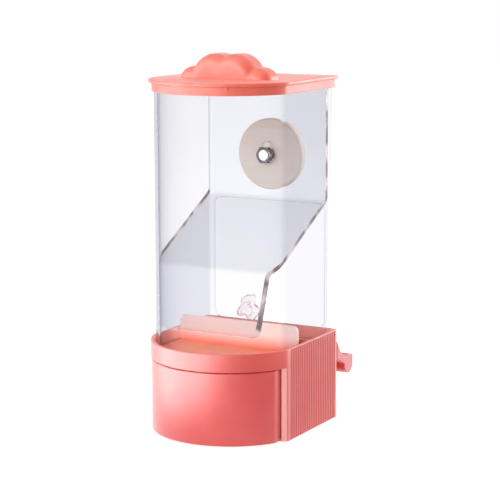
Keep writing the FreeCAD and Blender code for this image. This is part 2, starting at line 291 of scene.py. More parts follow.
# %% Make and wire nodes
def linear(red, green, blue):
    """Screen colour from 0 to 255 as linear light."""
    share = np.array([red, green, blue]) / 255
    light = np.where(share <= 0.04045, share / 12.92, ((share + 0.055) / 1.055) ** 2.4)
    return (*light.tolist(), 1.0)


def blank_material(name):
    """A new node material, its node tree and its main shader."""
    material = bpy.data.materials.new(name)
    material.use_nodes = True
    return material, material.node_tree, material.node_tree.nodes["Principled BSDF"]


def feed(tree, socket, value):
    """Links another socket to this one, or puts a plain value on it."""
    if isinstance(value, bpy.types.NodeSocket):
        tree.links.new(value, socket)
    else:
        socket.default_value = value


def add_node(tree, kind, inputs, **settings):
    """A node of one kind: first its own settings, then its inputs as sockets or values."""
    node = tree.nodes.new("ShaderNode" + kind)
    for setting, value in settings.items():
        setattr(node, setting, value)
    for key, value in inputs.items():
        feed(tree, node.inputs[key], value)
    return node


def calculate(tree, operation, first, second=0.0):
    """One sum of two values, each a socket or a number."""
    return add_node(tree, "Math", {0: first, 1: second}, operation=operation).outputs[0]


print("the screen's middle grey as linear light:", round(linear(128, 128, 128)[0], 3))

# %% Noise, ranges, blends and relief
def own_place(tree):
    """The point's place on the piece, in metres."""
    return add_node(tree, "TexCoord", {}).outputs["Object"]


def noise(tree, scale, detail=2.0, stretch=(1, 1, 1)):
    """Noise read from the piece's own place, stretched along the axes if asked."""
    place = add_node(tree, "Mapping", {"Vector": own_place(tree), "Scale": stretch})
    cloud = {"Vector": place.outputs["Vector"], "Scale": scale, "Detail": detail}
    return add_node(tree, "TexNoise", cloud).outputs["Fac"]


def spread(tree, value, low, high, start=0.35, end=0.65, way="LINEAR"):
    """Turns start to end into low to high. The usual start and end suit a noise."""
    limits = {"Value": value, "From Min": start, "From Max": end, "To Min": low, "To Max": high}
    return add_node(tree, "MapRange", limits, interpolation_type=way).outputs["Result"]


def blend(tree, share, first, second, way="MIX"):
    """Colour between two others, each a colour or a socket."""
    colours = {"Factor": share, "A": first, "B": second}
    return add_node(tree, "Mix", colours, data_type="RGBA", blend_type=way).outputs["Result"]


def facing(tree):
    """0 where the surface is seen straight on, rising to 1 where it is seen edge on."""
    return add_node(tree, "LayerWeight", {"Blend": 0.5}).outputs["Facing"]


def add_bump(tree, shader, height, strength, distance):
    """Fine relief from a height value."""
    relief = {"Height": height, "Strength": strength, "Distance": distance}
    feed(tree, shader.inputs["Normal"], add_node(tree, "Bump", relief).outputs["Normal"])


# %% Masks by place
def axes(tree):
    """The point's place on the piece as three sockets named X, Y and Z."""
    return add_node(tree, "SeparateXYZ", {"Vector": own_place(tree)}).outputs


def place_mask(tree, tests):
    """1 where every (axis, side, limit in millimetres) test holds, and 0 elsewhere."""
    place = axes(tree)
    share = 1.0
    for axis, side, limit in tests:
        operation = "GREATER_THAN" if side == "above" else "LESS_THAN"
        share = calculate(tree, "MULTIPLY", share, calculate(tree, operation, place[axis], limit * MM))
    return share


# %% [markdown]
# ## Satin moulded plastic
# The real plastic has a deep salmon colour. Its pale look on the lit side is a soft shine on top
# of that colour, from a coat and a trace of sheen. A paler base colour would give the same lit
# side, but then the shaded side would lose its depth. A little light also enters the plastic and
# spreads, which softens the shadows. The slight unevenness of a moulding comes from two noises:
# a broad one in the colour and a fine one in the relief.

# %% The plastic and the lid's colour
PLASTIC_GLOW_REACH = 0.003
PLASTIC_GLOW_COLOUR = (1.0, 0.28, 0.2)


def satin_plastic(name, light, deep, roughness, glow, coat=1.0, haze=0.12, paint=None):
    """Moulded plastic between two screen colours.

    A paint function, where one is given, takes the node tree and the drifting colour, and
    returns the colour of each place.
    """
    material, tree, shader = blank_material(name)
    drift = spread(tree, noise(tree, 55.0), 0.0, 1.0)
    colour = blend(tree, drift, linear(*light), linear(*deep))
    feed(tree, shader.inputs["Base Color"], paint(tree, colour) if paint else colour)
    patch = spread(tree, noise(tree, 140.0, 3.0), roughness - 0.04, roughness + 0.05)
    feed(tree, shader.inputs["Roughness"], patch)
    shader.inputs["Subsurface Weight"].default_value = glow
    shader.inputs["Subsurface Radius"].default_value = PLASTIC_GLOW_COLOUR
    shader.inputs["Subsurface Scale"].default_value = PLASTIC_GLOW_REACH
    shader.inputs["Coat Weight"].default_value = coat
    shader.inputs["Coat Roughness"].default_value = 0.36
    shader.inputs["Sheen Weight"].default_value = haze
    shader.inputs["Sheen Roughness"].default_value = 0.45
    add_bump(tree, shader, noise(tree, 2600.0), 0.12, 0.00004)
    return material


lid_plastic = satin_plastic("lid_plastic", (226, 102, 82), (220, 94, 75), 0.5, 0.25, coat=0.5)
print("plastic:", lid_plastic.name)

# %% [markdown]
# ## The base, the drawer and the tray in the same plastic
# The three lower mouldings get light and shade painted into their colour by place. The base's
# flutes get painted shade, a deeper red, and the cut ends of its walls and the inside of its rim
# get painted highlights, pale. The drawer gets painted light inside, and so does the tray's divider
# towards its top. Separate materials on separate faces would need many small faces. Masks made from the
# point's place on the piece need none, and they follow the mesh if it is made finer.

# %% The base's colours by place
# Where the painted shade in the flutes starts and where it is full, in mm inside the outer width.
FLUTE_START, FLUTE_FULL = 0.02, 0.38


def flute_painted_shade(tree):
    """Share of the painted shade in the flutes: from the outer width inwards, on the flat sides alone."""
    across = calculate(tree, "ABSOLUTE", axes(tree)["X"])
    deep_x, start_x = (half_width - FLUTE_FULL) * MM, (half_width - FLUTE_START) * MM
    depth = spread(tree, across, 0.75, 0.0, deep_x, start_x)
    outer_skin = calculate(tree, "GREATER_THAN", across, (half_width - 0.6) * MM)
    on_side = place_mask(tree, [("Y", "above", side_end_y + 1.2)])
    return calculate(tree, "MULTIPLY", calculate(tree, "MULTIPLY", depth, on_side), outer_skin)


def painted_rim_highlight(tree):
    """1 on the band's inside, where a painted highlight goes: a box whose front is round.

    The round part is the distance from the middle of the front circle, in which only what lies
    in front of that middle counts along Y.
    """
    flat = {0: own_place(tree), 1: (1, 1, 0), 2: (0, -front_centre_y * MM, 0)}
    from_middle = add_node(tree, "VectorMath", flat, operation="MULTIPLY_ADD").outputs["Vector"]
    in_front = add_node(tree, "VectorMath", {0: from_middle, 1: (1, 0, 0)}, operation="MINIMUM")
    away = add_node(tree, "VectorMath", {0: in_front.outputs["Vector"]}, operation="LENGTH")
    inner = rim_wall - 0.1
    near = calculate(tree, "LESS_THAN", away.outputs["Value"], (front_radius - inner) * MM)
    box = place_mask(tree, [("X", "above", inner - half_width), ("X", "below", half_width - inner),
                            ("Y", "below", back_y - inner), ("Z", "above", shelf_top - 0.9)])
    return calculate(tree, "MULTIPLY", near, box)


def base_colour(tree, plain):
    """Painted shade in the flutes, painted highlights on the walls' cut ends and on the rim's inside."""
    # Painted shade: the flutes turn a deeper red.
    sides_with_painted_shade = blend(tree, flute_painted_shade(tree), plain, linear(190, 44, 44))
    # Painted highlight: the cut ends of the side walls turn pale.
    painted_end_highlight = place_mask(tree, [("Y", "below", wall_end_y + 0.25), ("Z", "below", seam_height - 0.1)])
    ends_with_painted_highlight = blend(tree, calculate(tree, "MULTIPLY", painted_end_highlight, 0.8), sides_with_painted_shade, linear(246, 176, 168))
    # Painted highlight: the inside of the rim turns pale.
    return blend(tree, painted_rim_highlight(tree), ends_with_painted_highlight, linear(255, 170, 160))


base_plastic = satin_plastic("base_plastic", (222, 84, 77), (216, 76, 69), 0.45, 0.15, paint=base_colour)
print("plastic by place:", base_plastic.name)


# %% The drawer's and the tray's colours by place
def drawer_colour(tree, plain):
    """Painted light inside, standing in for the light that soaks through the walls from all sides."""
    # Painted light on the drawer's inside.
    painted_inner_light = place_mask(tree, [("X", "above", -33.85), ("X", "below", 33.85), ("Y", "above", -22.0),
                               ("Y", "below", 36.3), ("Z", "above", 2.5)])
    return blend(tree, painted_inner_light, plain, linear(255, 176, 168))


def tray_colour(tree, plain):
    """Painted light up the divider, paler from just over the plate to 48 mm."""
    # Painted light: the divider turns paler towards its top.
    height = spread(tree, axes(tree)["Z"], 0.0, 1.0, 40.6 * MM, 48.0 * MM)
    return blend(tree, height, plain, linear(255, 236, 230))


drawer_plastic = satin_plastic("drawer_plastic", (222, 80, 77), (216, 72, 69), 0.42, 0.15,
                               paint=drawer_colour)
tray_plastic = satin_plastic("tray_plastic", (252, 152, 126), (247, 142, 116), 0.5, 0.3,
                             coat=0.1, haze=0.0, paint=tray_colour)
print("plastics by place:", drawer_plastic.name, tray_plastic.name)

# %% [markdown]
# ## Clear sheet
# The bin and the bent sheet are acrylic with a faint lavender cast. Where a wall is seen edge on
# it turns much darker, partly the cast over a longer path and partly painted shade standing in for
# the dark edges that refraction gives. Acrylic's own index of refraction is 1.49, but in a tube with
# thick rounded
# shoulders that bends the view far more than the photograph shows. So the body of the sheet
# hardly bends light, and a thin clear coat makes the mirror part. Shadow rays and scattered
# light go straight through, as they nearly do in a thin clear wall, and so the pieces behind two
# or three walls stay bright.

# %% Clear acrylic
def let_through(tree, shader):
    """Swaps the shader for plain transparency for shadow rays and for scattered light."""
    rays = add_node(tree, "LightPath", {}).outputs
    clear = add_node(tree, "BsdfTransparent", {"Color": (1.0, 1.0, 1.0, 1.0)}).outputs["BSDF"]
    seen = shader.outputs["BSDF"]
    for kind in ("Is Shadow Ray", "Is Diffuse Ray"):
        seen = add_node(tree, "MixShader", {0: rays[kind], 1: seen, 2: clear}).outputs["Shader"]
    tree.links.new(seen, tree.nodes["Material Output"].inputs["Surface"])


def clear_sheet(name, face_tint, edge_tint_and_shade, power, roughness):
    """Clear wall with more tint at grazing angles, partly real and partly painted shade: the share is the
    facing value to a power.
    """
    material, tree, shader = blank_material(name)
    # Partly real tint, partly painted shade: the colour darkens towards grazing angles.
    grazing_shade_share = calculate(tree, "POWER", facing(tree), power)
    feed(tree, shader.inputs["Base Color"], blend(tree, grazing_shade_share, (*face_tint, 1), (*edge_tint_and_shade, 1)))
    haze = spread(tree, noise(tree, 90.0, 3.0), roughness, roughness + 0.03)
    feed(tree, shader.inputs["Roughness"], haze)
    shader.inputs["Transmission Weight"].default_value = 1.0
    shader.inputs["IOR"].default_value = 1.03
    shader.inputs["Coat Weight"].default_value = 0.03
    shader.inputs["Coat Roughness"].default_value = 0.05
    add_bump(tree, shader, noise(tree, 60.0, 1.0), 0.05, 0.0002)
    let_through(tree, shader)
    return material


clear_acrylic = clear_sheet("clear_acrylic", (0.978, 0.979, 0.988), (0.2, 0.195, 0.29), 2.0, 0.0)
sheet_acrylic = clear_sheet("sheet_acrylic", (0.85, 0.848, 0.885), (0.26, 0.255, 0.33), 1.5, 0.01)
print("clear materials:", clear_acrylic.name, sheet_acrylic.name)

# %% [markdown]
# ## Cut edges and dried glue
# A sawn and polished edge of clear sheet shows the dark and light stripes of everything it
# reflects inside. Tracing those reflections would take many bounces, so the edges get a glossy
# finish with painted reflections, streaked dark and light. The glue is cloudy and wet-looking,
# with a painted pinkish reflection at its rim.

# %% Edges and glue
def edge_with_painted_reflections(name, dark, light):
    """The cut edge of a clear sheet: glossy, with painted reflections streaked dark and light along its
    length.
    """
    material, tree, shader = blank_material(name)
    # Painted reflections: streaks of dark and light along the edge.
    painted_streak = spread(tree, noise(tree, 130.0, 3.0), 0.0, 1.0, 0.4, 0.62)
    feed(tree, shader.inputs["Base Color"], blend(tree, painted_streak, linear(*dark), linear(*light)))
    feed(tree, shader.inputs["Roughness"], spread(tree, painted_streak, 0.15, 0.3))
    return material


def dried_glue():
    """Glue: rougher and cloudier than the sheet, with a strong wet shine and a painted pinkish reflection
    darkening its rim.
    """
    material, tree, shader = blank_material("dried_glue")
    cloudy = spread(tree, noise(tree, 400.0, 3.0), 0.0, 1.0)
    # Painted reflection: the glue turns pinkish and darker towards its rim.
    rim = spread(tree, facing(tree), 0.0, 1.0, 0.05, 0.5)
    colour = blend(tree, rim, (0.95, 0.93, 0.94, 1), (0.72, 0.42, 0.44, 1))
    feed(tree, shader.inputs["Base Color"], colour)
    feed(tree, shader.inputs["Roughness"], spread(tree, cloudy, 0.02, 0.12))
    shader.inputs["Transmission Weight"].default_value = 1.0
    shader.inputs["IOR"].default_value = 1.45
    add_bump(tree, shader, noise(tree, 500.0), 0.5, 0.0004)
    return material


glue_clear = dried_glue()
# Painted reflections on the glue's outline beads.
glue_line_painted_reflection = edge_with_painted_reflections("glue_line_painted_reflection", (196, 150, 150), (240, 214, 214))
# Painted reflections on the sheet's side edges.
sheet_edge_painted_reflections = edge_with_painted_reflections("sheet_edge", (124, 108, 106), (226, 214, 212))
# Painted highlight: the sheet's foot edge is streaked near white.
sheet_foot_painted_highlight = edge_with_painted_reflections("sheet_foot", (250, 236, 236), (255, 255, 255))
print("edges and glue:", sheet_edge_painted_reflections.name, sheet_foot_painted_highlight.name, glue_clear.name, glue_line_painted_reflection.name)

# %% [markdown]
# ## Plated steel and pale wood
# The bolt, washer and wing nut are bright plated steel with faint turning marks. Inside the bin
# the bolt's head shows a blackish ring of reflected dark surroundings, painted on as a darker,
# blacker steel colour. The disc is bare pale wood: fine long fibres in one direction with a slow wave
# of darker early wood.

# %% Steel
def plated_steel(name, light, dark):
    """Metal between two greys: the material, its tree, its shader and the drift of the grey."""
    material, tree, shader = blank_material(name)
    shader.inputs["Metallic"].default_value = 1.0
    drift = spread(tree, noise(tree, 300.0), 0.0, 1.0)
    feed(tree, shader.inputs["Base Color"], blend(tree, drift, (*light, 1), (*dark, 1)))
    return material, tree, shader, drift


def bright_steel():
    """Plated steel: grey metal whose gloss is broken by fine scratches."""
    material, tree, shader, _ = plated_steel("bright_steel", (0.80, 0.79, 0.78), (0.68, 0.68, 0.69))
    scratch = noise(tree, 900.0, 3.0, (1, 14, 1))
    feed(tree, shader.inputs["Roughness"], spread(tree, scratch, 0.2, 0.38))
    add_bump(tree, shader, scratch, 0.15, 0.00003)
    return material


def steel_painted_dark():
    """The same plating with a darker, blacker grey: a painted dark reflection for the head's ring."""
    material, tree, shader, drift = plated_steel("steel_painted_dark", (0.2, 0.19, 0.19), (0.1, 0.1, 0.1))
    feed(tree, shader.inputs["Roughness"], spread(tree, drift, 0.25, 0.4))
    return material


steel, head_painted_dark_steel = bright_steel(), steel_painted_dark()
print("steels:", steel.name, head_painted_dark_steel.name)


# %% Wood
def pale_wood():
    """Sanded pale wood: fibres stretched along X, a slow wave of colour, matt surface."""
    material, tree, shader = blank_material("pale_wood")
    fibre = noise(tree, 420.0, 4.0, (0.06, 1, 1))
    wave = noise(tree, 60.0, 2.0, (0.15, 1, 1))
    fine = blend(tree, spread(tree, fibre, 0.0, 1.0), linear(255, 250, 240), linear(254, 243, 228))
    slow = blend(tree, spread(tree, wave, 0.0, 0.35), fine, (0.95, 0.9, 0.84, 1), "MULTIPLY")
    feed(tree, shader.inputs["Base Color"], slow)
    feed(tree, shader.inputs["Roughness"], spread(tree, fibre, 0.6, 0.75))
    add_bump(tree, shader, fibre, 0.3, 0.0001)
    return material


wood = pale_wood()
print("wood:", wood.name)

# %% [markdown]
# ## The base
# The base is one moulding: two ribbed side walls and a back wall, a floor between them, and a
# band that runs all the way round above the drawer. The ribs are shallow flutes cut into the
# flat sides. A flute is a smooth dip, so its depth follows a raised cosine along the wall.

# %% The flutes
def flute(points, sharpness=1.4):
    """Depth of the flutes at each point: depth times (half + half cos of the phase) ^ sharpness."""
    first = side_end_y + rib_margin
    last = first + rib_pitch * int((back_y - side_end_y - 2 * rib_margin) / rib_pitch)
    phase = (points[:, 1] - first) / rib_pitch
    dip = (0.5 + 0.5 * np.cos(2 * math.pi * phase)) ** sharpness
    on_wall = (points[:, 1] > first - rib_pitch / 2) & (points[:, 1] < last + rib_pitch / 2)
    on_side = np.abs(points[:, 0]) > half_width - 1.0
    return rib_depth * dip * on_wall * on_side


def fluted(rows, ribbed):
    """Moves the ribbed rows of a wall inwards by the flutes' depth."""
    rows = rows.copy()
    for index in np.flatnonzero(ribbed):
        rows[index, :, 0] -= np.sign(rows[index, :, 0]) * flute(rows[index])
    return rows


print("depth of the flutes", rib_depth, "pitch", rib_pitch)

# %% [markdown]
# ## The band, its rim and the shelf
# The band closes the base at the top and carries the tray on a narrow shelf inside. It could be
# cut out of a block, but a closed profile carried round the D gives it all its small rounds.

# %% The band
def band_skin():
    """The band as a ring: up the ribbed outside, over the rim, down inside and along the shelf."""
    outer = BASE_PLAN
    edge = inside(outer, 0.6)
    inner = inside(outer, rim_wall)
    inner_edge = inside(outer, rim_wall - 0.4)
    shelf = inside(outer, shelf_inset)
    profile = [(outer, seam_height), (outer, seam_height + 0.2)]
    profile += rounded_edge(outer, edge, base_height - 0.6, base_height)
    profile += rounded_edge(inner, inner_edge, base_height - 0.4, base_height)[::-1]
    profile += [(inner, shelf_top + 0.3), (inside(outer, rim_wall + 0.3), shelf_top)]
    profile += [(shelf, shelf_top), (shelf, seam_height)]
    rows = ring_rows(profile, RIB_SIDE_POINTS)
    return skin(fluted(rows, [plan == outer for plan, _ in profile]), ring=True)


print("band from", seam_height, "to", round(float(base_height), 2))

# %% [markdown]
# ## The walls below the band
# Under the band the front is open for the drawer, and both side walls end in a slant with soft
# corners. Seen from above the three walls are one U, so one row of points makes them all.

# %% The ribbed walls
def soft_corner(before, corner, after, size, steps=5):
    """Rounded corner: the curve (1-t)^2 a + 2t(1-t) c + t^2 b, with a and b one size away from c."""
    before, corner, after = (np.array(point, dtype=float) for point in (before, corner, after))
    a = corner + (before - corner) / np.linalg.norm(before - corner) * size
    b = corner + (after - corner) / np.linalg.norm(after - corner) * size
    t = np.linspace(0, 1, steps)[:, None]
    return (1 - t) ** 2 * a + 2 * t * (1 - t) * corner + t ** 2 * b


def wall_end(side):
    """The slanted end of one side wall, from the outside round to the inside."""
    shoulder_x = half_width - BASE_PLAN.shoulder
    shoulder_y = front_centre_y - math.sqrt((front_radius - BASE_PLAN.shoulder) ** 2 - shoulder_x ** 2)
    outer_x = shoulder_x + math.sqrt(BASE_PLAN.shoulder ** 2 - (wall_end_y - shoulder_y) ** 2)
    inner_x = half_width - base_wall
    outer = (outer_x, wall_end_y)
    inner = (inner_x, wall_end_y - wall_end_slant)
    tip = np.vstack([soft_corner((outer_x + 0.1, wall_end_y + 1), outer, inner, 0.45),
                     soft_corner(outer, inner, (inner_x, wall_end_y + 1), 0.4)])
    return tip * (side, 1)


def wall_skin():
    """The two side walls and the back wall as one U-shaped row of points, carried upwards."""
    outer = plan_loop(BASE_PLAN, RIB_SIDE_POINTS)
    outer[:, 0] -= np.sign(outer[:, 0]) * flute(outer)
    inner = plan_loop(inside(BASE_PLAN, base_wall), 40)
    rows = []
    for loop, nearest in ((outer, wall_end_y + 0.6), (inner, wall_end_y + 0.2)):
        kept = loop[loop[:, 1] > nearest]
        first = np.argmin(np.where(kept[:, 0] > 0, kept[:, 1], back_y))
        rows.append(np.roll(kept, -first, axis=0))
    loop = np.vstack([rows[0], wall_end(-1), rows[1][::-1], wall_end(1)[::-1]])
    return skin(np.array([np.column_stack([loop, np.full(len(loop), z)]) for z in (0.0, seam_height)]))


print("side walls end at", round(wall_end_y, 2), "with a slant of", wall_end_slant)

# %% [markdown]
# ## The floor
# A thin floor ties the walls together under the drawer. Floor, walls and band are three closed
# skins that touch face to face and make one object. A union would give one skin, but it would
# cut the long rows of the fluted walls into slivers, and the joints don't show.

# %% The floor and the finished base
def floor_skin():
    """The base's floor: a flat D between the walls, a little behind the drawer's front."""
    floor_plan = Plan(half_width - base_wall, back_y - base_wall, front_radius - 3.2, 0.6, 0.6)
    return skin(ring_rows([(floor_plan, 0.0), (floor_plan, 1.5)]))


base = new_piece("base_moulding", [band_skin(), wall_skin(), floor_skin()])
finish_piece(base, "feeder", ["base_body"], base_plastic)

# %% [markdown]
# ## The husk drawer
# The drawer is a D-shaped box with a thicker bowed front that reaches nearly to the table. Its
# back wall is lower, so that it slides under the tray. Height can change along a row, so one
# stack of rows does both: the foot hangs down only at the front, and the top drops at the back.

# %% Make the drawer
drawer_low, drawer_high = corners("husk_drawer")
drawer_plan = Plan(drawer_high[0], drawer_high[1], front_centre_y - drawer_low[1], 3.0, 5.0)
drawer_wall, drawer_front_wall = 1.8, 2.4
drawer_inner = Plan(drawer_plan.half - drawer_wall, drawer_plan.back - drawer_wall,
                    drawer_plan.radius - drawer_front_wall, 2.0, 3.0)
drawer_bottom = 1.7
drawer_floor_top = 3.3
back_drop = 4.0
foot_back_y, lower_wall_y, step_length = -16.9, 33.5, 0.5


def ease(value, start, end):
    """0 before start, 1 after end, and a smooth step between: 3 t squared minus 2 t cubed."""
    share = np.clip((value - start) / (end - start), 0, 1)
    return share * share * (3 - 2 * share)


def drawer_skin():
    """Rows from the underside round the foot, up the outside, over the edge and down inside."""
    outer, inner = drawer_plan, drawer_inner
    reference = plan_loop(outer, 90)[:, 1]
    behind_foot = ease(reference, foot_back_y - step_length, foot_back_y)
    foot = drawer_low[2] + (drawer_bottom - drawer_low[2]) * behind_foot
    top = drawer_high[2] - back_drop * ease(reference, lower_wall_y, lower_wall_y + step_length)
    profile = [(inner, np.full(len(reference), drawer_bottom)), (inner, foot),
               (inside(outer, 0.35), foot), (inside(outer, 0.1), foot + 0.1), (outer, foot + 0.35)]
    for plan, share in rounded_edge(outer, inside(outer, 0.6), -0.6, 0.0):
        profile.append((plan, top + share))
    for plan, share in rounded_edge(inner, Plan(*[v + 0.5 for v in inner]), -0.5, 0.0)[::-1]:
        profile.append((plan, top + share))
    profile += [(inner, np.full(len(reference), drawer_floor_top + 1.0)),
                (inside(inner, 0.3), np.full(len(reference), drawer_floor_top + 0.3)),
                (inside(inner, 1.0), np.full(len(reference), drawer_floor_top))]
    return skin(ring_rows(profile, 90))


drawer = new_piece("drawer_moulding", [drawer_skin()])
finish_piece(drawer, "drawer", ["husk_drawer"], drawer_plastic)

# %% [markdown]
# ## The seed tray
# The tray drops onto the shelf inside the band. Its plate has a large opening at the back for
# the husks, and an upright divider keeps the seed in front of it. The opening is cut with a
# rounded block, because a cut leaves the same clean edge that the mould does.

# %% Rounded blocks for walls and cuts
def rounded_rectangle(half, low, high, low_radius, high_radius, steps=8):
    """Closed upright outline (x, z) with rounded corners, anticlockwise from low left."""
    lower, upper = (low + low_radius, low_radius), (high - high_radius, high_radius)
    parts = []
    for quarter, side, (z, radius) in ((2, -1, lower), (3, 1, lower), (0, 1, upper), (1, -1, upper)):
        turn = np.linspace(quarter * math.pi / 2, (quarter + 1) * math.pi / 2, steps)
        x = side * (half - radius)
        parts.append(np.column_stack([x + radius * np.cos(turn), z + radius * np.sin(turn)]))
    return np.vstack(parts)


def upright_block(outline, near, far, edge=0.0):
    """An (x, z) outline carried from near to far along Y, with its two rims softened by edge."""
    centre = outline.mean(axis=0)
    size = np.abs(outline - centre).max(axis=0)
    rows = []
    steps = [(near, edge), (near + 0.3 * edge, 0.3 * edge), (near + edge, 0.0),
             (far - edge, 0.0), (far - 0.3 * edge, 0.3 * edge), (far, edge)]
    for y, shrink in steps if edge else [(near, 0.0), (far, 0.0)]:
        ring = centre + (outline - centre) * (1 - shrink / size)
        rows.append(np.column_stack([ring[:, 0], np.full(len(ring), y), ring[:, 1]]))
    return skin(np.array(rows))


print("corner of a 10 by 4 block:", rounded_rectangle(5, 0, 4, 1, 1)[0].round(2))

# %% [markdown]
# ## The tray's pieces
# Plate and divider are one moulding. Joining them with a union gives one clean skin, where two
# overlapping skins would show a hard line at the divider's foot.

# %% Make the tray
tray_low, tray_high = corners("seed_tray")
tray_top = 40.4
divider_y = 5.0
divider_thickness = 1.6
hole_margin, hole_radius = 5.0, 3.0


def tray_plate():
    """The plate as rows with softened edges."""
    plan = inside(BASE_PLAN, half_width - tray_high[0])
    profile = rounded_edge(inside(plan, 0.4), plan, tray_low[2], tray_low[2] + 0.4)
    profile += rounded_edge(plan, inside(plan, 0.4), tray_top - 0.4, tray_top)
    return skin(ring_rows(profile))


bin_low, bin_high = corners("clear_bin")
tray = new_piece("tray_moulding", [tray_plate()])
hole_points = rounded_rectangle(bin_high[0] - hole_margin, divider_y + divider_thickness,
                                bin_high[1] - hole_margin, hole_radius, hole_radius)
hole_rows = [np.column_stack([hole_points, np.full(len(hole_points), z)]) for z in (36.0, 43.0)]
carve(tray, new_piece("hole", [skin(np.array(hole_rows))]))
divider_outline = rounded_rectangle(tray_high[0] - 3.0, tray_top - 0.3, tray_high[2], 0.2, 3.0)
divider = upright_block(divider_outline, divider_y, divider_y + divider_thickness, 0.35)
carve(tray, new_piece("divider", [divider]), "UNION")
finish_piece(tray, "feeder", ["seed_tray"], tray_plastic)

# %% [markdown]
# ## The clear bin
# The bin is a D-shaped tube with walls under two millimetres. Clear walls show every facet, so
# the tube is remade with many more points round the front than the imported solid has. The
# feeding window and the bolt's slot are then cut through its flat back.

# %% Make the bin
bin_outer = Plan(bin_high[0], bin_high[1], front_centre_y - bin_low[1], 1.6, 9.3)
bin_wall = 1.8
bin_inner = Plan(*(size - bin_wall for size in bin_outer[:3]), 0.4, 7.5)
bolt_low, bolt_high = corners("clamp_bolt")
bolt_z = (bolt_low[2] + bolt_high[2]) / 2
slot_radius = 2.9
slot_rise = 3.9
window_post, window_sill, window_top, window_radius = 2.0, 6.5, 71.0, 4.0


def bin_skin():
    """A tube as a ring of rows: outside, top edge, inside and bottom edge, edges softened."""
    low, high = bin_low[2], bin_high[2]
    soft = inside(bin_outer, 0.25)
    soft_in = Plan(*[v + 0.25 for v in bin_inner])
    profile = [(soft, low), (bin_outer, low + 0.25), (bin_outer, high - 0.25), (soft, high),
               (soft_in, high), (bin_inner, high - 0.25), (bin_inner, low + 0.25), (soft_in, low)]
    return skin(ring_rows(profile, 60), ring=True)


def slot_block(near, far):
    """The bolt's slot: a half circle below and above, joined by straight sides."""
    turn = np.linspace(0, math.pi, 17)
    upper = np.column_stack([slot_radius * np.cos(turn), bolt_z + slot_rise + slot_radius * np.sin(turn)])
    lower = np.column_stack([-slot_radius * np.cos(turn), bolt_z - slot_radius * np.sin(turn)])
    return upright_block(np.vstack([upper, lower]), near, far)


clear_bin = new_piece("bin_shell", [bin_skin()])
window_points = rounded_rectangle(bin_inner.half - window_post, bin_low[2] + window_sill,
                                  bin_low[2] + window_top, window_radius, window_radius)
through_wall = (bin_inner.back - 2, bin_high[1] + 2)
carve(clear_bin, new_piece("window", [upright_block(window_points, *through_wall)]))
carve(clear_bin, new_piece("slot", [slot_block(*through_wall)]))
finish_piece(clear_bin, "feeder", ["clear_bin"], clear_acrylic)

# %% [markdown]
# ## The bent sheet
# One flat strip of clear sheet was warmed and bent twice. Its front and back faces follow the
# same path, one thickness apart, and its width follows the inside of the bin, so it narrows
# where it nears the round front. Both faces are rows across the width, closed into one skin.

# %% The sheet's sizes and path
sheet_low, sheet_high = corners("baffle_sheet")
sheet_thickness = 2.2
sheet_gap = 0.15
sheet_bend = 4.0
sheet_corner = 3.0
slope_top, slope_foot, sheet_foot = 113.5, 83.3, 52.7
slope_run, lean_run = 56.5, 4.7
TOUCH_GAP = 0.08        # faces of clear sheet that lie in one plane render dark
sheet_back = sheet_high[1] - TOUCH_GAP
sheet_path = np.array([
    [sheet_back, sheet_high[2]],
    [sheet_back, slope_top],
    [sheet_back - slope_run, slope_foot],
    [sheet_back - slope_run - lean_run, sheet_foot],
])


print("corners of the sheet's path:", sheet_path.round(1).tolist())


# %% Lines with round bends
def parallel_path(path, distance):
    """The bent line moved sideways: each corner moves along the halved turn of its two runs."""
    runs = np.diff(path, axis=0)
    runs /= np.linalg.norm(runs, axis=1)[:, None]
    normals = np.column_stack([-runs[:, 1], runs[:, 0]])
    before = np.vstack([normals[:1], normals])
    after = np.vstack([normals, normals[-1:]])
    middle = before + after
    middle /= np.linalg.norm(middle, axis=1)[:, None]
    return path + middle * (distance / np.sum(middle * after, axis=1))[:, None]


def bent_line(path, radius, straight_count=36, bend_count=14):
    """The path with round bends, as rows of points: straight runs joined by arcs."""
    points = []
    start = path[0]
    for index in range(1, len(path) - 1):
        corner = path[index]
        towards = path[index - 1] - corner
        onward = path[index + 1] - corner
        towards /= np.linalg.norm(towards)
        onward /= np.linalg.norm(onward)
        half_turn = math.acos(np.clip(np.dot(towards, onward), -1, 1)) / 2
        back = radius / math.tan(half_turn)
        first, last = corner + towards * back, corner + onward * back
        halfway = (towards + onward) / np.linalg.norm(towards + onward)
        centre = corner + halfway * radius / math.sin(half_turn)
        points.append(straight(start, first, straight_count))
        share = np.linspace(0, 1, bend_count, endpoint=False)[:, None]
        chord = first * (1 - share) + last * share - centre
        points.append(centre + chord / np.linalg.norm(chord, axis=1)[:, None] * radius)
        start = last
    points.append(np.linspace(start, path[-1], straight_count))
    return np.vstack(points)


back_steps = np.diff(bent_line(sheet_path, sheet_bend), axis=0)
print("length of the sheet's back face:", round(float(np.linalg.norm(back_steps, axis=1).sum()), 1))


# %% Rows down the sheet
def sheet_half_width(y):
    """Half the sheet's width at depth y, read off the bin's inside: side, shoulder or front."""
    room = inside(bin_inner, sheet_gap)
    loop = plan_loop(room)
    right = loop[(loop[:, 0] > 0) & (loop[:, 1] < room.back - 1)]
    order = np.argsort(right[:, 1])
    return float(np.interp(y, right[order, 1], right[order, 0]))


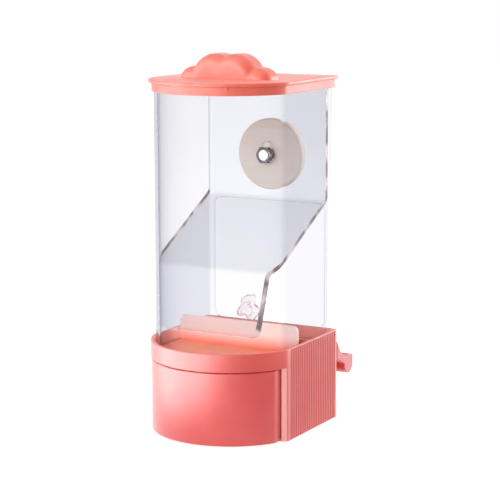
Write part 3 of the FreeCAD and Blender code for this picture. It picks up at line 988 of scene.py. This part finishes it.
def sheet_skin():
    """Rows down the sheet, each running across the back face and home along the front face.

    Near the foot each row is shorter by a quarter circle: r less the root of r squared less
    the square of what is left of r up to the foot.
    """
    back_line = bent_line(sheet_path, sheet_bend)
    front_line = bent_line(parallel_path(sheet_path, -sheet_thickness), sheet_bend)
    across = np.linspace(-1, 1, 41)
    to_foot = np.linalg.norm(back_line - back_line[-1], axis=1)
    trims = sheet_corner - np.sqrt(sheet_corner ** 2 - np.maximum(sheet_corner - to_foot, 0) ** 2)
    rows = []
    for back_point, front_point, trim in zip(back_line, front_line, trims):
        row = []
        for (y, z), way in ((back_point, 1), (front_point, -1)):
            x = way * across * (sheet_half_width(y) - trim)
            row.append(np.column_stack([x, np.full(len(x), y), np.full(len(x), z)]))
        rows.append(np.vstack(row))
    return skin(np.array(rows))


print("half width at the slope's foot:", round(sheet_half_width(sheet_path[2][0]), 2))

# %% [markdown]
# ## A second finish on some faces
# The sheet's cut edges and the ring on the bolt's head carry painted reflections that the rest of
# their piece lacks. Splitting them off would turn one real part into several. Instead faces are chosen by
# where they lie and which way they face, and given a second material.

# %% Choose faces
MIDDLE_STRIP, CLEAN_EDGE_HEIGHT = 5.0, 115.0


def give_finish(piece, marked, material):
    """Gives a second finish to the marked faces."""
    mesh = piece.data
    mesh.materials.append(material)
    finishes = np.empty(len(mesh.polygons), dtype=np.int32)
    mesh.polygons.foreach_get("material_index", finishes)
    finishes[marked] = len(mesh.materials) - 1
    mesh.polygons.foreach_set("material_index", finishes)
    mesh.update()
    print(piece.name, "faces with", material.name, int(marked.sum()))


def paint_faces(piece, chosen, material):
    """Gives a second finish to the faces whose centre and normal pass a test."""
    faces = piece.data.polygons
    centre, normal = np.empty(len(faces) * 3), np.empty(len(faces) * 3)
    faces.foreach_get("center", centre)
    faces.foreach_get("normal", normal)
    give_finish(piece, chosen(centre.reshape(-1, 3) / MM, normal.reshape(-1, 3)), material)


def is_cut_edge(centre, normal):
    """The sheet's side edges face along X; the upper left one is clean and stays clear."""
    sideways = (np.abs(normal[:, 0]) > 0.7) & (np.abs(centre[:, 0]) > MIDDLE_STRIP)
    return sideways & ((centre[:, 0] > 0) | (centre[:, 2] < CLEAN_EDGE_HEIGHT))


def is_foot_edge(centre, normal):
    """The sheet's lower edge, which faces down."""
    return (normal[:, 2] < -0.9) & (centre[:, 2] < sheet_low[2] + 1.0)


# %% The finished sheet
sheet = new_piece("bent_sheet", [sheet_skin()])
carve(sheet, new_piece("sheet_slot", [slot_block(bin_inner.back - 5, bin_high[1] + 2)]))
finish_piece(sheet, "feeder", ["baffle_sheet"], sheet_acrylic)
paint_faces(sheet, is_cut_edge, sheet_edge_painted_reflections)
paint_faces(sheet, is_foot_edge, sheet_foot_painted_highlight)

# %% [markdown]
# ## Glue
# The maker stuck the sheet to the bin by hand, and a smear of clear glue has dried on the
# sheet's lower right corner. It is a flat drop with a wavy outline: the radius is a mean plus
# four waves of the angle, and the height falls from the middle with the square of the radius.
# Clear glue on clear sheet hardly shows, so two thin raised lines carry its outline, with painted pinkish
# reflections.

# %% Make the glue
def wavy(turn, waves):
    """The outline's radius at each angle: 1 plus the sum of depth times cos (count t + phase)."""
    return 1 + sum(depth * np.cos(count * turn + phase) for count, depth, phase in waves)


def glue_drop(centre, size, thickness, waves):
    """A drop on the sheet's front face: rows shrink inwards while they rise along -Y."""
    turn = np.linspace(0, 2 * math.pi, 90, endpoint=False)
    outline = wavy(turn, waves)
    rows = []
    for share in (1.0, 0.97, 0.9, 0.78, 0.6, 0.4, 0.2, 0.05):
        x = centre[0] + size[0] * share * outline * np.cos(turn)
        z = centre[2] + size[1] * share * outline * np.sin(turn)
        hollow = 0.55 * math.exp(-((share - 0.45) / 0.22) ** 2)
        rise = thickness * (1 - share ** 2) * (1 - hollow)
        y = centre[1] + (z - centre[2]) * sheet_lean - rise
        rows.append(np.column_stack([x, y, z]))
    return skin(np.array(rows))


def glue_bead(centre, size, bead, waves):
    """A thin raised line along a wavy outline: rows run round the bead, columns along it."""
    turn = np.linspace(0, 2 * math.pi, 120, endpoint=False)
    outline = wavy(turn, waves)
    width = bead * (0.7 + 0.3 * np.cos(3 * turn + 1.0) + 0.2 * np.cos(7 * turn))
    rows = []
    for around in np.linspace(0, 2 * math.pi, 10, endpoint=False):
        x = centre[0] + (size[0] * outline + width * math.cos(around)) * np.cos(turn)
        z = centre[2] + (size[1] * outline + width * math.cos(around)) * np.sin(turn)
        y = centre[1] + (z - centre[2]) * sheet_lean - 0.1 - width * (1 + math.sin(around))
        rows.append(np.column_stack([x, y, z]))
    return skin(np.array(rows), ring=True)


# %% The finished glue
GLUE_ACROSS, GLUE_HEIGHT = 22.6, 68.0
GLUE_SIZE, INNER_SIZE = (4.6, 6.6), (2.4, 3.9)
GLUE_WAVES = ((2, 0.16, 0.4), (3, 0.14, 2.1), (5, 0.12, 1.0), (7, 0.07, 0.3))
sheet_lean = lean_run / (slope_foot - sheet_foot)
glue_face = sheet_back - slope_run - sheet_thickness - (slope_foot - GLUE_HEIGHT) * sheet_lean
glue_centre = (GLUE_ACROSS, glue_face, GLUE_HEIGHT)
inner_centre = (GLUE_ACROSS - 1.0, glue_face - 1.0 * sheet_lean, GLUE_HEIGHT - 1.0)
glue_skins = [glue_drop(glue_centre, GLUE_SIZE, 0.9, GLUE_WAVES),
              glue_bead(glue_centre, GLUE_SIZE, 0.3, GLUE_WAVES),
              glue_bead(inner_centre, INNER_SIZE, 0.22, GLUE_WAVES)]
glue = new_piece("dried_glue", glue_skins, 60.0)
finish_piece(glue, "feeder", [], glue_clear)
drop_faces = len(glue_skins[0][1])
give_finish(glue, np.arange(len(glue.data.polygons)) >= drop_faces, glue_line_painted_reflection)

# %% [markdown]
# ## The lid and its cloud
# The knob is a cloud of four puffs. Each puff is a round bar with ball ends, and the skin over
# all four is where a soft minimum of their distances is zero. From the middle of the cloud
# every direction meets that skin once, so halving a bracket along each ray finds it.

# %% The cloud's surface
lid_low, lid_high = corners("lid")
lid_top = bin_high[2] + 1.7
CLOUD_Y = -2.6
PUFF_END = 6.2
CLOUD_WALL = 2.2
PUFFS = [(side * x, radius, sink, reach) for side in (-1, 1)
         for x, radius, sink, reach in ((5.6, lid_high[2] - lid_top, 0.0, 9.5), (18.0, 7.95, 2.15, 8.8))]


def cloud_distance(points, softness=0.5):
    """Soft minimum of the puffs' distances: -k log of the sum of exp(-distance / k).

    A puff is a round bar along Y whose ends are rounded by e. With q the two distances past
    the bar's core, its own distance is |max(q, 0)| + min(max(q1, q2), 0) - e.
    """
    total = np.zeros(points.shape[:-1])
    for x, radius, sink, reach in PUFFS:
        off = points - np.array([x, CLOUD_Y, lid_top - sink])
        round_way = np.hypot(off[..., 0], off[..., 2]) - (radius - PUFF_END)
        long_way = np.abs(off[..., 1]) - (reach - PUFF_END)
        beyond = np.hypot(np.maximum(round_way, 0), np.maximum(long_way, 0))
        distance = beyond + np.minimum(np.maximum(round_way, long_way), 0) - PUFF_END
        total += np.exp(-distance / softness)
    return -softness * np.log(total)


def cloud_skin(around=260, upward=84):
    """Rows round the cloud from just below the plate's top up to the crown."""
    turn = np.linspace(0, 2 * math.pi, around, endpoint=False)[None, :]
    rise = np.linspace(0, math.pi / 2, upward + 1)[:-1, None]
    ray = np.stack([np.cos(rise) * np.cos(turn), np.cos(rise) * np.sin(turn),
                    np.sin(rise) * np.ones_like(turn)], axis=-1)
    centre = np.array([0.0, CLOUD_Y, lid_top - 0.4])
    near = np.full(ray.shape[:2], 5.0)
    far = np.full(ray.shape[:2], 40.0)
    for _ in range(26):
        middle = (near + far) / 2
        inner = cloud_distance(centre + ray * middle[..., None]) < 0
        near = np.where(inner, middle, near)
        far = np.where(inner, far, middle)
    return skin(centre + ray * near[..., None])


print("cloud from the plate up:", round(float(lid_high[2] - lid_top), 2), "puffs", len(PUFFS))

# %% [markdown]
# ## The lid's plate, skirt and hollow
# The plate overhangs the bin and a thin skirt reaches down round its mouth. The puffs are hollow
# underneath, as moulded knobs are, so that no wall is thick enough to sink while it cools.

# %% The lid's plate, skirt and hollow
def lid_plate():
    """The plate's rounded rim and the thin skirt that reaches down round the bin's mouth."""
    outer = inside(BASE_PLAN, 0.1)
    rim = inside(outer, 0.5)
    skirt_out = inside(BASE_PLAN, 1.7)
    skirt_in = inside(BASE_PLAN, 2.5)
    under = bin_high[2]
    profile = rounded_edge(outer, rim, lid_top - 0.5, lid_top)[::-1]
    profile += rounded_edge(outer, inside(outer, 0.35), under + 0.35, under)
    profile += [(inside(skirt_out, -0.25), under), (skirt_out, under - 0.25)]
    profile += [(skirt_out, lid_low[2] + 0.2), (inside(skirt_out, 0.2), lid_low[2])]
    profile += [(inside(skirt_in, -0.2), lid_low[2]), (skirt_in, lid_low[2] + 0.2), (skirt_in, under)]
    return skin(ring_rows(profile, 40))


def pocket_skins():
    """The hollows under the puffs: round bars with flat ends, well inside each puff."""
    skins = []
    for x, radius, sink, reach in PUFFS:
        half = reach - CLOUD_WALL
        hollow = 0.7 * (radius - CLOUD_WALL)
        turn = np.linspace(0, 2 * math.pi, 48, endpoint=False)
        ring = np.column_stack([x + hollow * np.cos(turn), lid_top - sink + hollow * np.sin(turn)])
        skins.append(upright_block(ring, CLOUD_Y - half, CLOUD_Y + half))
    return skins


def gate_nub(angle=27.0, radius=0.7, height=2.0):
    """The stub that the mould's gate leaves on the skirt: a short upright pin with a soft foot."""
    away = front_radius - 1.7
    turn = np.linspace(0, 2 * math.pi, 24, endpoint=False)
    centre = (away * math.sin(math.radians(angle)), front_centre_y - away * math.cos(math.radians(angle)))
    rows = []
    for lift, share in ((0.0, 0.6), (0.12, 0.88), (0.4, 1.0), (height + 0.3, 1.0)):
        rows.append(np.column_stack([centre[0] + radius * share * np.cos(turn),
                                     centre[1] + radius * share * np.sin(turn),
                                     np.full(len(turn), bin_high[2] - height + lift)]))
    return skin(np.array(rows))


lid = new_piece("lid_moulding", [lid_plate()])
carve(lid, new_piece("cloud", [cloud_skin()]), "UNION", 38.0)
carve(lid, new_piece("gate_nub", [gate_nub()]), "UNION", 38.0)
for number, pocket in enumerate(pocket_skins()):
    carve(lid, new_piece("pocket_%d" % number, [pocket]), "DIFFERENCE", 38.0)
finish_piece(lid, "lid", ["lid"], lid_plastic)

# %% [markdown]
# ## The clamp
# The bolt, disc and washer turn about one line, so they are profiles spun round it.
# The thread is a groove whose place along the bolt moves on by one pitch each turn. The head is
# a hexagon whose corners are cut by a cone, which is the smaller of two radii at each angle.

# %% Spin profiles round the bolt's line
def spun(radii, places):
    """Rows round the bolt's line: radius and place along Y may both change with the angle."""
    count = radii.shape[1]
    turn = np.linspace(0, 2 * math.pi, count, endpoint=False)
    x = radii * np.cos(turn)
    z = bolt_z + radii * np.sin(turn)
    return np.stack([x, np.broadcast_to(places, radii.shape), z], axis=-1)


print("bolt's line at height", round(float(bolt_z), 2))

# %% The bolt and the flat rings
BOLT_FACE = 2.7


def bolt_skin(count=72, flats=8.0, pitch=0.8, depth=0.35):
    """Hexagon head with a cone-cut face, then a shank with a fine thread.

    Hexagon radius: half the flats over the cosine of the angle to the nearest flat. Thread
    radius: shank radius less a wave of place over pitch minus angle over a full turn.
    """
    turn = np.linspace(0, 2 * math.pi, count, endpoint=False)
    face, shoulder_y, end = bolt_low[1], bolt_low[1] + 2.8, bolt_high[1]
    hexagon = (flats / 2) / np.cos(turn % (math.pi / 3) - math.pi / 6)
    rows, places = [np.full(count, BOLT_FACE)], [face]
    for step in (0.0, 0.25, 0.5, 0.8):
        rows.append(np.minimum(hexagon, flats / 2 - 0.35 + 1.6 * step))
        places.append(face + 0.55 * step)
    rows += [hexagon, hexagon, np.full(count, 2.5)]
    places += [face + 0.7, shoulder_y, shoulder_y]
    along = np.arange(shoulder_y + 0.2, end - 0.05, pitch / 8)
    wave = 0.5 - 0.5 * np.cos(2 * math.pi * (along[:, None] / pitch - turn[None, :] / (2 * math.pi)))
    taper = np.clip((end - along[:, None]) / 0.6, 0, 1)
    threaded = 2.5 - depth * wave * np.clip((along[:, None] - shoulder_y - 3.0) / 1.0, 0, 1)
    rows += list(threaded - 0.5 * (1 - taper))
    places += list(along)
    return skin(spun(np.array(rows), np.array(places)[:, None]))


def ring_skin(inner, outer, low, high, edge, count=144):
    """A flat ring about the bolt's line with four softened edges."""
    profile = []
    for radius, place, start in ((outer - edge, low + edge, -0.5), (outer - edge, high - edge, 0.0),
                                 (inner + edge, high - edge, 0.5), (inner + edge, low + edge, 1.0)):
        turn = np.linspace(start * math.pi, (start + 0.5) * math.pi, 6)
        profile += list(zip(radius + edge * np.cos(turn), place + edge * np.sin(turn)))
    radii, places = np.array(profile).T
    return skin(spun(np.repeat(radii[:, None], count, axis=1), places[:, None]), ring=True)


print("bolt from", round(float(bolt_low[1]), 2), "to", round(float(bolt_high[1]), 2))

# %% The finished clamp
disc_low, disc_high = corners("clamp_disc")
washer_low, washer_high = corners("disc_washer")
bolt = new_piece("bolt", [bolt_skin()], 40.0)
finish_piece(bolt, "bolt", ["clamp_bolt"], steel)


def gets_painted_dark_reflection(centre, normal):
    """Faces that get the painted dark reflection: the head's flats, its chamfer and the dished ring round
    the bright middle of its face.
    """
    away = np.hypot(centre[:, 0], centre[:, 2] - bolt_z)
    return (centre[:, 1] < bolt_low[1] + 2.9) & ((normal[:, 1] > -0.97) | (away > BOLT_FACE))


# Painted dark reflection on the head's flats, chamfer and ring.
paint_faces(bolt, gets_painted_dark_reflection, head_painted_dark_steel)
disc_face = disc_low[1] + TOUCH_GAP
disc = new_piece("wooden_disc", [ring_skin(2.6, disc_high[0], disc_face, disc_high[1], 0.9)])
finish_piece(disc, "disc", ["clamp_disc"], wood)
washer = new_piece("washer", [ring_skin(2.6, washer_high[0], washer_low[1], washer_high[1], 0.15, 96)])
finish_piece(washer, "disc", ["disc_washer"], steel)

# %% [markdown]
# ## Softened solids
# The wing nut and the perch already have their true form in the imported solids. What they lack
# is the small round on every edge that catches the light. A copy of each mesh is joined up,
# cleaned of the lines across its flat faces and given a bevel.

# %% Soften the nut and the perch
def softened(node, name, width, limit=35.0):
    """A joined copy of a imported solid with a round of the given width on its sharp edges."""
    mesh = bpy.data.meshes.new(name)
    work = bmesh.new()
    work.from_mesh(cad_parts[node].data)
    bmesh.ops.remove_doubles(work, verts=work.verts, dist=1e-6)
    bmesh.ops.dissolve_limit(work, angle_limit=math.radians(1.0), verts=work.verts, edges=work.edges)
    work.to_mesh(mesh)
    work.free()
    mesh.materials.clear()
    mesh.shade_smooth()
    mesh.set_sharp_from_angle(angle=math.radians(limit))
    piece = bpy.data.objects.new(name, mesh)
    bpy.context.scene.collection.objects.link(piece)
    bevel = piece.modifiers.new("soft edges", "BEVEL")
    bevel.width = width * MM
    bevel.segments = 3
    bevel.limit_method = "ANGLE"
    bevel.angle_limit = math.radians(limit)
    print(name, "faces before the bevel", len(mesh.polygons))
    return piece


nut = softened("wing_nut", "wing_nut_forged", 0.35)
finish_piece(nut, "nut", ["wing_nut"], steel)
perch = softened("perch_bar", "perch_moulding", 0.5)
finish_piece(perch, "feeder", ["perch_bar"], base_plastic)

# %% [markdown]
# ## What the studio mirrors
# The photograph was taken in an evenly lit white studio with a large bright surface at the left.
# That surface gives the base its pale left side, so it has to show in the gloss. A real lamp
# there would also light the plastic itself, and its outline would show in the clear walls. So
# the bright side and the darker room at the right are painted into what floor and world send to
# mirrored rays, and fade out smoothly. A camera ray and a ray through the clear walls see white.

# %% Levels by direction
SHINE_WAY, SHINE_LEVEL = (-36.0, 4.0), 8.5
ROOM_WAY, ROOM_LEVEL = (68.0, 4.0), 0.1


def direction(azimuth, elevation):
    """Unit vector for an azimuth, 0 at the front and growing to the right, and an elevation."""
    turn, lift = math.radians(azimuth), math.radians(elevation)
    return Vector((math.sin(turn) * math.cos(lift), -math.cos(turn) * math.cos(lift), math.sin(lift)))


def towards(tree, way, view, start, end):
    """0 to 1 as a view direction turns towards a given way: its dot product from start to end."""
    dot = add_node(tree, "VectorMath", {0: view, 1: direction(*way)}, operation="DOT_PRODUCT")
    return spread(tree, dot.outputs["Value"], 0.0, 1.0, start, end, "SMOOTHSTEP")


def mirrored_level(tree, view):
    """Brightness of the studio in a mirror: a wide soft box at the left, a darker room at the right."""
    shine = spread(tree, towards(tree, SHINE_WAY, view, 0.4, 0.95), 1.0, SHINE_LEVEL, 0.0, 1.0)
    room = {"Factor": towards(tree, ROOM_WAY, view, 0.1, 0.8), "A": shine, "B": ROOM_LEVEL}
    return add_node(tree, "Mix", room).outputs["Result"]


def seen_level(tree, direct, through, mirrored):
    """Strength for camera rays, for rays through the clear walls and for mirrored rays.

    A ray bent by a clear wall counts as mirrored too, so the mirror's part leaves it out.
    """
    rays = add_node(tree, "LightPath", {}).outputs
    unbent = calculate(tree, "SUBTRACT", 1.0, rays["Is Transmission Ray"])
    only_mirrored = calculate(tree, "MULTIPLY", rays["Is Glossy Ray"], unbent)
    level = calculate(tree, "MULTIPLY", rays["Is Camera Ray"], direct)
    for kind, value in ((rays["Is Transmission Ray"], through), (only_mirrored, mirrored)):
        level = calculate(tree, "MAXIMUM", level, calculate(tree, "MULTIPLY", kind, value))
    return level


print("bright side at", SHINE_WAY, "level", SHINE_LEVEL, "dark side at", ROOM_WAY, "level", ROOM_LEVEL)

# %% [markdown]
# ## Floor and world
# The feeder stands on white paper with no visible horizon. A floor that only glows would lose
# the soft shadow under the base. So the floor keeps a pale diffuse part, which darkens where the
# object shades it, and a glow brings the rest up to white. The world is white to the eye, and as
# light it has one plain level.

# %% Floor and world
OBJECT_MIDDLE = 0.09
FLOOR_GREY = 0.45
FLOOR_GLOW, FLOOR_GLOW_THROUGH = 0.68, 0.7
WORLD_LIGHT = 0.72


def white_floor():
    """A floor that is white to the camera but still darkens where the object shades it."""
    material, tree, shader = blank_material("floor_white")
    feed(tree, shader.inputs["Roughness"], spread(tree, noise(tree, 3.0), 0.55, 0.6))
    shader.inputs["Base Color"].default_value = (FLOOR_GREY, FLOOR_GREY, FLOOR_GREY, 1)
    shader.inputs["Specular IOR Level"].default_value = 0.1
    raised = {0: own_place(tree), 1: (0, 0, OBJECT_MIDDLE)}
    lowered = add_node(tree, "VectorMath", raised, operation="SUBTRACT").outputs["Vector"]
    way = add_node(tree, "VectorMath", {0: lowered}, operation="NORMALIZE").outputs["Vector"]
    strength = seen_level(tree, FLOOR_GLOW, FLOOR_GLOW_THROUGH, mirrored_level(tree, way))
    glow = add_node(tree, "Emission", {"Strength": strength}).outputs["Emission"]
    both = add_node(tree, "AddShader", {0: shader.outputs["BSDF"], 1: glow}).outputs["Shader"]
    tree.links.new(both, tree.nodes["Material Output"].inputs["Surface"])
    return material


def make_floor(size=6.0):
    """One large flat face at the height of the object's underside."""
    mesh = bpy.data.meshes.new("floor")
    corner = size / 2
    points = [(-corner, -corner, 0), (corner, -corner, 0), (corner, corner, 0), (-corner, corner, 0)]
    mesh.from_pydata(points, [], [(0, 1, 2, 3)])
    mesh.materials.append(white_floor())
    floor = bpy.data.objects.new("floor", mesh)
    bpy.context.scene.collection.objects.link(floor)


def white_world(level):
    """White for what is seen or looked through, the studio in mirrors, and a plain level as light."""
    world = bpy.data.worlds.new("studio")
    bpy.context.scene.world = world
    world.use_nodes = True
    tree = world.node_tree
    mirrored = mirrored_level(tree, add_node(tree, "TexCoord", {}).outputs["Generated"])
    glossy = add_node(tree, "LightPath", {}).outputs["Is Glossy Ray"]
    as_light = calculate(tree, "MULTIPLY", calculate(tree, "SUBTRACT", 1.0, glossy), level)
    strength = calculate(tree, "MAXIMUM", seen_level(tree, 1.0, 1.0, mirrored), as_light)
    background = tree.nodes["Background"]
    background.inputs["Color"].default_value = (1, 1, 1, 1)
    tree.links.new(strength, background.inputs["Strength"])


make_floor()
white_world(WORLD_LIGHT)
bpy.context.scene.view_settings.view_transform = "Standard"
print("floor and world are white, world light", WORLD_LIGHT)

# %% [markdown]
# ## Lamps
# Three soft lamps add what the even world lacks. One stands low at the front, so that its light
# passes under the lid and reaches the wooden disc through the clear wall. One behind the right
# side grazes the ribs. A weak one from above gives the cloud its soft top light.

# %% Lamps
def soft_lamp(name, azimuth, elevation, distance, size, share):
    """A rectangular lamp aimed at the feeder's middle. A share of 1 lights a facing wall fully:

    the power is the share times pi squared times the distance squared.
    """
    way = direction(azimuth, elevation)
    lamp = bpy.data.lights.new(name, "AREA")
    lamp.shape = "RECTANGLE"
    lamp.size, lamp.size_y = size
    lamp.energy = share * math.pi ** 2 * distance ** 2
    holder = bpy.data.objects.new(name, lamp)
    holder.location = Vector((0, 0, OBJECT_MIDDLE)) + way * distance
    holder.rotation_euler = way.to_track_quat("Z", "Y").to_euler()
    bpy.context.scene.collection.objects.link(holder)


soft_lamp("front_lamp", 10, 14, 1.3, (1.0, 0.6), 0.42)
soft_lamp("right_lamp", 146, 11, 1.3, (0.8, 0.5), 0.72)
soft_lamp("top_lamp", 0, 80, 1.2, (0.8, 0.8), 0.16)
print("lamps:", len(bpy.data.lights))

# %% [markdown]
# ## Camera
# The photograph's own camera, found by fitting the outline of the base, bin and lid. It stands
# 29 degrees to the right of the front and a little above, with a long lens.

# %% Camera
def set_camera(azimuth=28.96, elevation=9.56, tilt=-0.11, lens=124.7):
    """Places the camera: its back points along the view's azimuth and elevation."""
    turn, roll = math.radians(azimuth), math.radians(tilt)
    place = Vector((423.9, -747.7, 235.6)) * MM
    right = Vector((math.cos(turn), math.sin(turn), 0))
    back = direction(azimuth, elevation)
    up = back.cross(right)
    right, up = right * math.cos(roll) + up * math.sin(roll), up * math.cos(roll) - right * math.sin(roll)
    camera = bpy.data.cameras.new("camera")
    camera.lens = lens
    camera.sensor_width = 36.0
    holder = bpy.data.objects.new("camera", camera)
    holder.matrix_world = Matrix.Translation(place) @ Matrix([
        (right.x, up.x, back.x, 0), (right.y, up.y, back.y, 0), (right.z, up.z, back.z, 0), (0, 0, 0, 1)])
    bpy.context.scene.collection.objects.link(holder)
    bpy.context.scene.camera = holder
    print("camera at", [round(value, 3) for value in place], "lens", lens)


set_camera()
